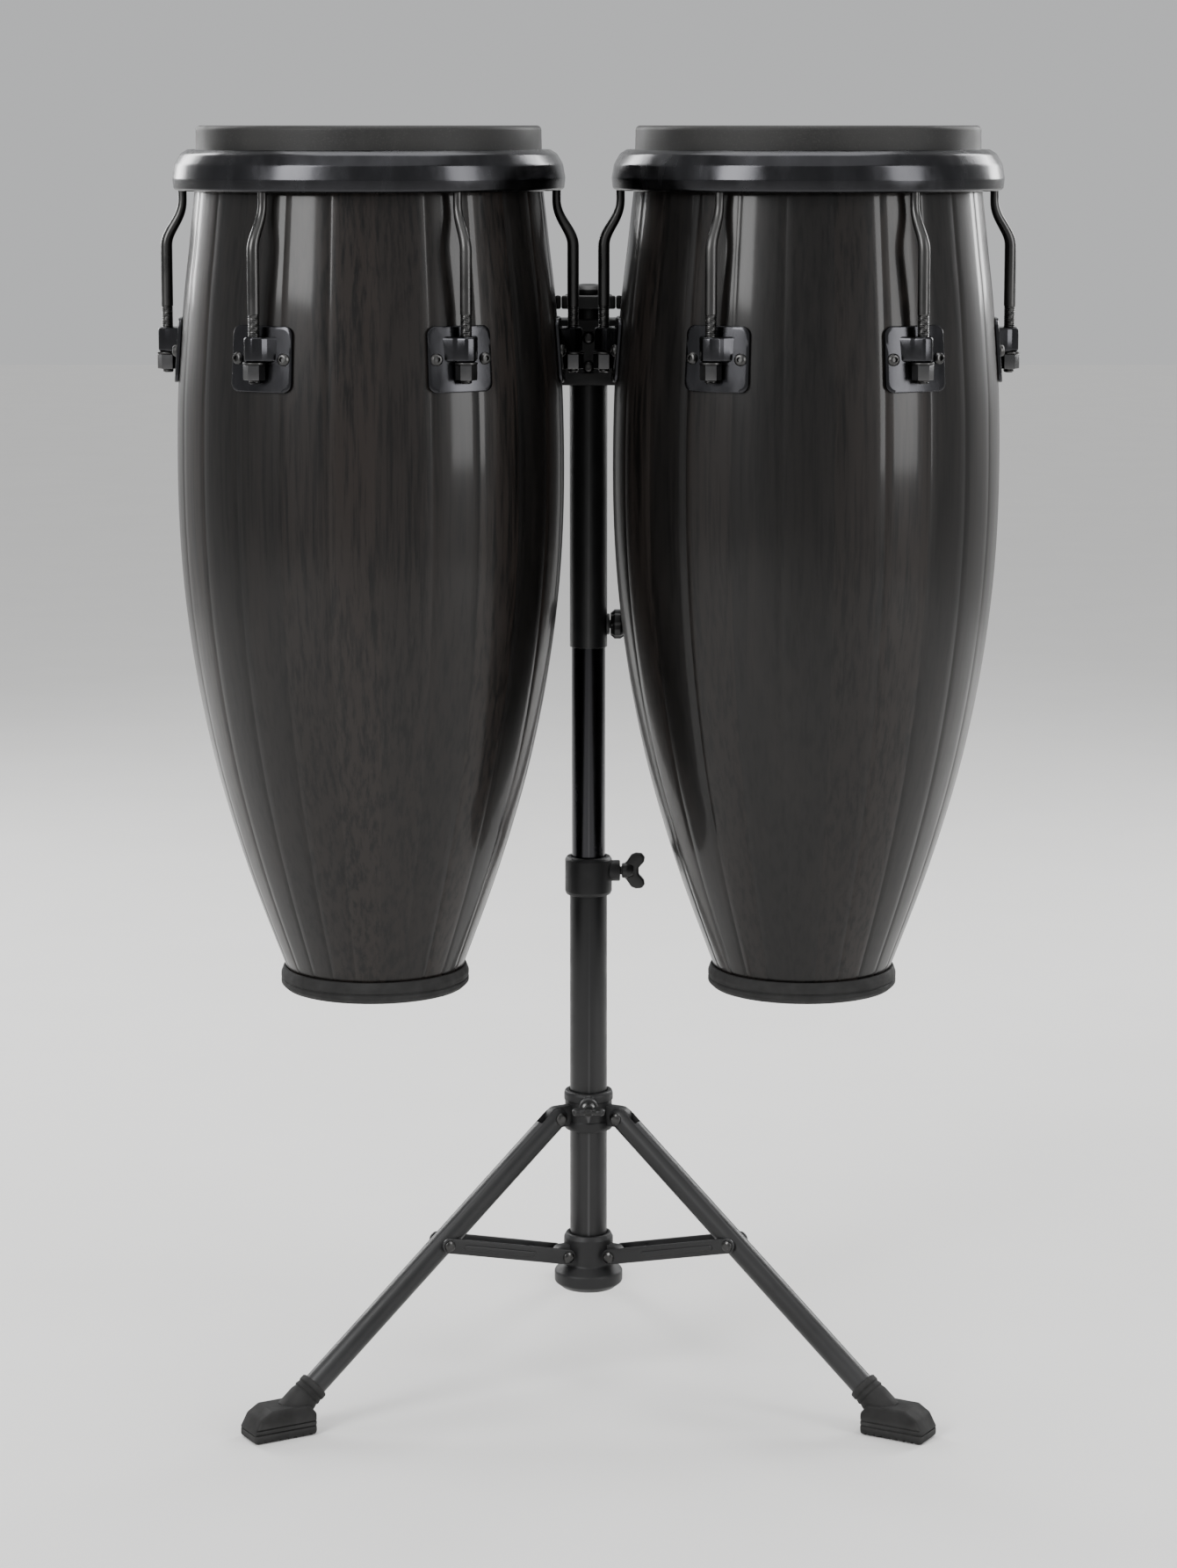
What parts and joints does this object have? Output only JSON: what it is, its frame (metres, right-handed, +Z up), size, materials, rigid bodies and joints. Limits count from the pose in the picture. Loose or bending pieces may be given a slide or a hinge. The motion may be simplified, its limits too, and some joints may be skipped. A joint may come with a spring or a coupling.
{
  "type": "conga drum set",
  "caption": "Matched conga drums hung side by side on a folding tripod stand with height, swivel and lift-off joints.",
  "frame": {"origin": "on the floor, under the middle of the set's box", "axes": "+Z up, -Y towards the player, +X to the right when looking along +Y"},
  "size_m": [0.702, 0.5634, 1.077],
  "materials": {
    "shell_lacquer": "black-stained staves under satin lacquer",
    "drum_skin": "charcoal fibre skin, matt",
    "black_plating": "polished black nickel plating",
    "black_zinc": "black zinc on forged steel",
    "powder_coat": "fine-textured black powder coat",
    "black_casting": "sand-textured black cast alloy",
    "black_nylon": "moulded black nylon",
    "black_rubber": "matt black rubber"
  },
  "bodies": {
    "stand_base": {"base_tube": "powder_coat", "lower_hub": "black_casting", "height_clamp": "black_casting"},
    "height_screw": {"height_screw": "black_nylon"},
    "leg_collar": {"leg_collar": "black_casting"},
    "collar_screw": {"collar_screw": "black_nylon"},
    "back_leg": {"back_leg": "powder_coat", "back_foot": "black_rubber"},
    "left_leg": {"left_leg": "powder_coat", "left_foot": "black_rubber"},
    "right_leg": {"right_leg": "powder_coat", "right_foot": "black_rubber"},
    "back_brace": {"back_brace": "powder_coat"},
    "left_brace": {"left_brace": "powder_coat"},
    "right_brace": {"right_brace": "powder_coat"},
    "inner_column": {"inner_tube": "powder_coat"},
    "mount_head": {"head_sleeve": "powder_coat", "crosshead": "black_casting", "bumper_bar": "black_casting", "column_cap": "black_nylon"},
    "swivel_knob": {"swivel_knob": "black_nylon"},
    "left_drum": {"left_shell": "shell_lacquer", "left_head": "drum_skin", "left_base_ring": "black_rubber", "left_side_plate_1": "black_plating", "left_side_plate_2": "black_plating", "left_side_plate_3": "black_plating", "left_side_plate_4": "black_plating", "left_side_plate_5": "black_plating", "left_side_plate_6": "black_plating", "left_saddle": "black_casting"},
    "left_rim_set": {"left_rim": "black_plating", "left_flesh_hoop": "black_zinc", "left_tuning_rod_1": "black_zinc", "left_tuning_rod_2": "black_zinc", "left_tuning_rod_3": "black_zinc", "left_tuning_rod_4": "black_zinc", "left_tuning_rod_5": "black_zinc", "left_tuning_rod_6": "black_zinc"},
    "left_lock_screw": {"left_lock_screw": "black_nylon"},
    "right_drum": {"right_shell": "shell_lacquer", "right_head": "drum_skin", "right_base_ring": "black_rubber", "right_side_plate_1": "black_plating", "right_side_plate_2": "black_plating", "right_side_plate_3": "black_plating", "right_side_plate_4": "black_plating", "right_side_plate_5": "black_plating", "right_side_plate_6": "black_plating", "right_saddle": "black_casting"},
    "right_rim_set": {"right_rim": "black_plating", "right_flesh_hoop": "black_zinc", "right_tuning_rod_1": "black_zinc", "right_tuning_rod_2": "black_zinc", "right_tuning_rod_3": "black_zinc", "right_tuning_rod_4": "black_zinc", "right_tuning_rod_5": "black_zinc", "right_tuning_rod_6": "black_zinc"},
    "right_lock_screw": {"right_lock_screw": "black_nylon"}
  },
  "joints": [
    {"name": "height_adjust", "type": "slide", "parent": "stand_base", "child": "inner_column", "axis": [0, 0, 1], "range_m": [-0.112, 0.168]},
    {"name": "head_swivel", "type": "hinge", "parent": "inner_column", "child": "mount_head", "pos_m": [0, -0.0433, 0.732], "axis": [0, 0, 1], "continuous": true},
    {"name": "leg_fold", "type": "slide", "parent": "stand_base", "child": "leg_collar", "axis": [0, 0, 1], "range_m": [0, 0.1406]},
    {"name": "back_leg_hinge", "type": "hinge", "parent": "leg_collar", "child": "back_leg", "pos_m": [0, -0.0113, 0.2356], "axis": [-1, 0, 0], "range_deg": [0, 46.42]},
    {"name": "left_leg_hinge", "type": "hinge", "parent": "leg_collar", "child": "left_leg", "pos_m": [-0.02771, -0.0593, 0.2356], "axis": [0.5, -0.866, 0], "range_deg": [0, 46.42]},
    {"name": "right_leg_hinge", "type": "hinge", "parent": "leg_collar", "child": "right_leg", "pos_m": [0.02771, -0.0593, 0.2356], "axis": [0.5, 0.866, 0], "range_deg": [0, 46.42]},
    {"name": "back_brace_hinge", "type": "hinge", "parent": "stand_base", "child": "back_brace", "pos_m": [0, -0.0163, 0.114], "axis": [1, 0, 0], "range_deg": [0, 70.54]},
    {"name": "left_brace_hinge", "type": "hinge", "parent": "stand_base", "child": "left_brace", "pos_m": [-0.02338, -0.0568, 0.114], "axis": [-0.5, 0.866, 0], "range_deg": [0, 70.54]},
    {"name": "right_brace_hinge", "type": "hinge", "parent": "stand_base", "child": "right_brace", "pos_m": [0.02338, -0.0568, 0.114], "axis": [-0.5, -0.866, 0], "range_deg": [0, 70.54]},
    {"name": "height_screw_turn", "type": "hinge", "parent": "stand_base", "child": "height_screw", "pos_m": [0.035, -0.0433, 0.447], "axis": [1, 0, 0], "range_deg": [0, 270]},
    {"name": "collar_screw_turn", "type": "hinge", "parent": "leg_collar", "child": "collar_screw", "pos_m": [0, -0.0783, 0.246], "axis": [0, -1, 0], "range_deg": [0, 270]},
    {"name": "swivel_knob_turn", "type": "hinge", "parent": "mount_head", "child": "swivel_knob", "pos_m": [0.025, -0.0433, 0.659], "axis": [1, 0, 0], "range_deg": [0, 270]},
    {"name": "left_drum_lift", "type": "slide", "parent": "mount_head", "child": "left_drum", "axis": [0, 0, 1], "range_m": [0, 0.07]},
    {"name": "left_tension", "type": "slide", "parent": "left_drum", "child": "left_rim_set", "axis": [0, 0, -1], "range_m": [-0.003, 0.006]},
    {"name": "left_lock_screw_turn", "type": "hinge", "parent": "left_drum", "child": "left_lock_screw", "pos_m": [-0.033, -0.0133, 0.89], "axis": [0, 1, 0], "range_deg": [0, 270]},
    {"name": "right_drum_lift", "type": "slide", "parent": "mount_head", "child": "right_drum", "axis": [0, 0, 1], "range_m": [0, 0.07]},
    {"name": "right_tension", "type": "slide", "parent": "right_drum", "child": "right_rim_set", "axis": [0, 0, -1], "range_m": [-0.003, 0.006]},
    {"name": "right_lock_screw_turn", "type": "hinge", "parent": "right_drum", "child": "right_lock_screw", "pos_m": [0.033, -0.0133, 0.89], "axis": [0, 1, 0], "range_deg": [0, 270]}
  ],
  "couplings": [
    {"joint": "back_leg_hinge", "follows": "leg_fold", "rad_per_m": 5.7596},
    {"joint": "left_leg_hinge", "follows": "leg_fold", "rad_per_m": 5.7596},
    {"joint": "right_leg_hinge", "follows": "leg_fold", "rad_per_m": 5.7596},
    {"joint": "back_brace_hinge", "follows": "leg_fold", "rad_per_m": 8.7544},
    {"joint": "left_brace_hinge", "follows": "leg_fold", "rad_per_m": 8.7544},
    {"joint": "right_brace_hinge", "follows": "leg_fold", "rad_per_m": 8.7544}
  ]
}
